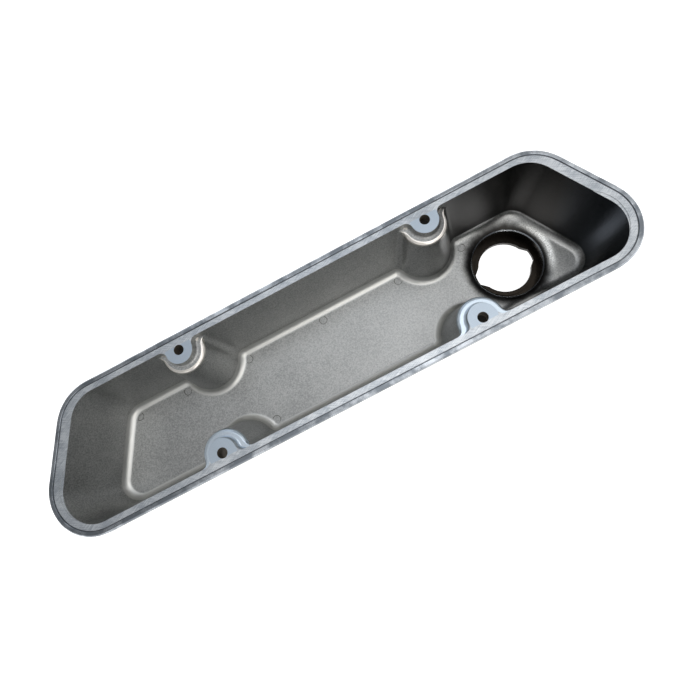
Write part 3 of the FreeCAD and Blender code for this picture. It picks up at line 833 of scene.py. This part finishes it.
def coverZone(centre, normal):
    # which finish a face of the casting has, from its middle in millimetres and its normal
    x, y, z = centre
    besideBolt = math.hypot(abs(x) - cover["boltX"], abs(y) - cover["boltY"])
    besideNeck = math.hypot(x - cover["neckX"], y - cover["neckY"])
    if z > zones["lipLow"]:
        return "lip"
    if z > zones["railLow"] and normal.z > zones["railUp"]:
        return "rail"
    onEdge = zones["edgeInner"] < besideNeck < zones["edgeOuter"] and z > zones["edgeLow"]
    if onEdge and zones["edgeLeast"] < normal.z < zones["edgeMost"]:
        return "lip"
    if besideNeck < zones["boreRadius"] and z < zones["boreTop"]:
        return "bore"
    onLedge = zones["ledgeLow"] < z < zones["ledgeTop"] and abs(y) < zones["ledgeSide"]
    inner = zones["farLedgeInner"] if y > 0 else zones["nearLedgeInner"]
    if onLedge and normal.z > zones["ledgeUp"] and inner < besideBolt < zones["ledgeRadius"]:
        return "ledge"
    # the draft turns every inner wall a little up and every outer wall a little down
    if normal.z > cover["insideUp"]:
        return "cast"
    boltAlong = math.copysign(cover["boltX"], x) - x
    boltAcross = math.copysign(cover["boltY"], y) - y
    facing = normal.x * boltAlong + normal.y * boltAcross > zones["recessFacing"]
    if besideBolt < zones["recessRadius"] or besideBolt < zones["recessReach"] and facing:
        return "recess"
    return "outside"


def dressCover(piece):
    order = list(finishes)
    piece.data.materials.clear()
    for name in order:
        piece.data.materials.append(finishes[name])
    paintedShade = piece.data.attributes["paintedShade"].data
    for face in piece.data.polygons:
        kind = paintedShadeKinds[paintedShade[face.index].value]
        zone = coverZone(face.center / mm, face.normal) if kind == "clean" else kind
        face.material_index = order.index(zone)
    makeActive(piece)
    bpy.ops.object.shade_smooth_by_angle(angle=math.radians(cover["smooth"]))
    weighted = piece.modifiers.new("weighted", "WEIGHTED_NORMAL")
    weighted.keep_sharp = True
    weighted.weight = cover["normalWeight"]
    bpy.ops.object.modifier_apply(modifier="weighted")


dressCover(coverPiece)
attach(coverPiece, "root")
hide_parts("valve_cover")
print("casting dressed")

# Pale studio floor with a low wall far away, white to the camera and in the metal. Under each
# bolt hole a small black disc lies on it: painted shade, so that the holes look dark.
studio = {
    "radius": 9000.0,
    "sides": 96,
    "wall": 2600.0,
    "floor": -90.0,
    "paint": hexColour("f4f4f4"),
    "glow": 0.9,
    "discShade": hexColour("2c2b2a"),
    "discNear": 7.5,
    "discFar": 5.0,
    "discLift": 0.3,
    "discSides": 48,
}


def studioPaint():
    material, tree = newMaterial("white studio paint")
    ray = addNode(tree, "ShaderNodeLightPath").outputs
    mirrored = addNode(tree, "ShaderNodeMath", {
        0: ray["Is Glossy Ray"], 1: ray["Is Transmission Ray"],
    }, operation="MAXIMUM").outputs["Value"]
    seen = addNode(tree, "ShaderNodeMath", {
        0: ray["Is Camera Ray"], 1: mirrored,
    }, operation="MAXIMUM").outputs["Value"]
    strength = addNode(tree, "ShaderNodeMath", {
        0: seen, 1: studio["glow"],
    }, operation="MULTIPLY").outputs["Value"]
    glow = addNode(tree, "ShaderNodeEmission", {"Color": (1, 1, 1, 1), "Strength": strength})
    paint = addNode(tree, "ShaderNodeBsdfDiffuse", {"Color": studio["paint"]})
    both = addNode(tree, "ShaderNodeAddShader", {
        0: glow.outputs["Emission"], 1: paint.outputs["BSDF"],
    })
    addNode(tree, "ShaderNodeOutputMaterial", {"Surface": both.outputs["Shader"]})
    return material


def studioFloor():
    deselectAll()
    bpy.ops.mesh.primitive_circle_add(
        vertices=studio["sides"], radius=studio["radius"] * mm, fill_type="NGON",
        location=(0, 0, studio["floor"] * mm),
    )
    piece = bpy.context.object
    piece.name = "studio_floor"
    bpy.ops.object.transform_apply(location=True, rotation=True, scale=True)
    bpy.ops.object.mode_set(mode="EDIT")
    bpy.ops.mesh.select_all(action="SELECT")
    bpy.ops.mesh.select_mode(type="EDGE")
    bpy.ops.mesh.region_to_loop()
    bpy.ops.mesh.extrude_region_move(TRANSFORM_OT_translate={"value": (0, 0, studio["wall"] * mm)})
    bpy.ops.mesh.select_all(action="SELECT")
    bpy.ops.mesh.normals_make_consistent(inside=True)
    bpy.ops.object.mode_set(mode="OBJECT")
    piece.data.materials.append(studioPaint())


# small black discs on the floor, seen through the bolt holes: painted shade
def shadeDiscs():
    material, tree = newMaterial("painted shade under the bolt holes")
    discShade = addNode(tree, "ShaderNodeBsdfDiffuse", {"Color": studio["discShade"]})
    addNode(tree, "ShaderNodeOutputMaterial", {"Surface": discShade.outputs["BSDF"]})
    view = Vector(camera["place"])
    level = studio["floor"] + studio["discLift"]
    boltSigns = ((-1, -1), (1, -1), (1, 1), (-1, 1))
    for number, (alongSign, acrossSign) in enumerate(boltSigns, start=1):
        # on the line from the camera through the bolt hole
        bolt = Vector((alongSign * cover["boltX"], acrossSign * cover["boltY"], cover["holeMiddle"]))
        line = bolt - view
        place = bolt + line * ((level - bolt.z) / line.z)
        radius = studio["discFar"] if acrossSign > 0 else studio["discNear"]
        deselectAll()
        bpy.ops.mesh.primitive_circle_add(
            vertices=studio["discSides"], radius=radius * mm, fill_type="NGON", location=place * mm,
        )
        piece = bpy.context.object
        piece.name = "painted_shade_disc_" + str(number)
        bpy.ops.object.transform_apply(location=True, rotation=True, scale=True)
        piece.data.materials.append(material)


studioFloor()
shadeDiscs()

# Soft boxes on a dome of 1.5 m round the cover: bearing from +X and height in degrees, size as
# the side in millimetres, and glow as the brightness of the surface.
dome = 1500.0
lights = {
    "softTop": {"bearing": 0, "height": 90, "size": 420, "glow": 1.3, "tint": "fffefc"},
    "softTopRight": {"bearing": 0, "height": 72, "size": 520, "glow": 1.2, "tint": "fffefc"},
    "softTopFar": {"bearing": 60, "height": 72, "size": 520, "glow": 1.35, "tint": "f6faff"},
    "softTopNear": {"bearing": 300, "height": 72, "size": 520, "glow": 1.1, "tint": "fffefc"},
    "softTopLeft": {"bearing": 190, "height": 68, "size": 520, "glow": 0.8, "tint": "fffefc"},
    "softTopFarLeft": {"bearing": 122, "height": 62, "size": 480, "glow": 0.9, "tint": "f6faff"},
    "softRight": {"bearing": 18, "height": 50, "size": 620, "glow": 0.9, "tint": "fffefc"},
    "softNear": {"bearing": 270, "height": 52, "size": 620, "glow": 1.7, "tint": "fffcf6"},
    "softNearRight": {"bearing": 315, "height": 52, "size": 620, "glow": 1.15, "tint": "fffdf8"},
    "softFar": {"bearing": 90, "height": 30, "size": 680, "glow": 0.6, "tint": "d4e6ff"},
    "lowNearLeft": {"bearing": 225, "height": 30, "size": 680, "glow": 0.7, "tint": "fffdf8"},
    "lowNear": {"bearing": 270, "height": 30, "size": 680, "glow": 1.0, "tint": "fffcf6"},
    "lowNearRight": {"bearing": 315, "height": 30, "size": 680, "glow": 0.75, "tint": "fffdf8"},
}


def softBox(name, light):
    side = light["size"] * mm
    turn = math.radians(light["bearing"])
    rise = math.radians(light["height"])
    outwards = Vector((math.cos(rise) * math.cos(turn), math.cos(rise) * math.sin(turn), math.sin(rise)))
    bpy.ops.object.light_add(type="AREA", location=outwards * dome * mm)
    lamp = bpy.context.object
    lamp.name = name
    lamp.rotation_euler = (-outwards).to_track_quat("-Z", "Y").to_euler()
    lamp.data.shape = "SQUARE"
    lamp.data.size = side
    lamp.data.color = hexColour(light["tint"])[:3]
    lamp.data.energy = light["glow"] * math.pi * side * side


for lightName, lightValues in lights.items():
    softBox(lightName, lightValues)

# Pale room light from everywhere, for the deep corners.
room = {
    "colour": hexColour("f2f4f6"),
    "strength": 0.33,
}
world = bpy.data.worlds.new("paleRoom")
bpy.context.scene.world = world
world.use_nodes = True
world.node_tree.nodes.clear()
sky = addNode(world.node_tree, "ShaderNodeBackground", {
    "Color": room["colour"], "Strength": room["strength"],
})
addNode(world.node_tree, "ShaderNodeOutputWorld", {"Surface": sky.outputs["Background"]})
bpy.context.scene.view_settings.view_transform = "Standard"
print("studio set")
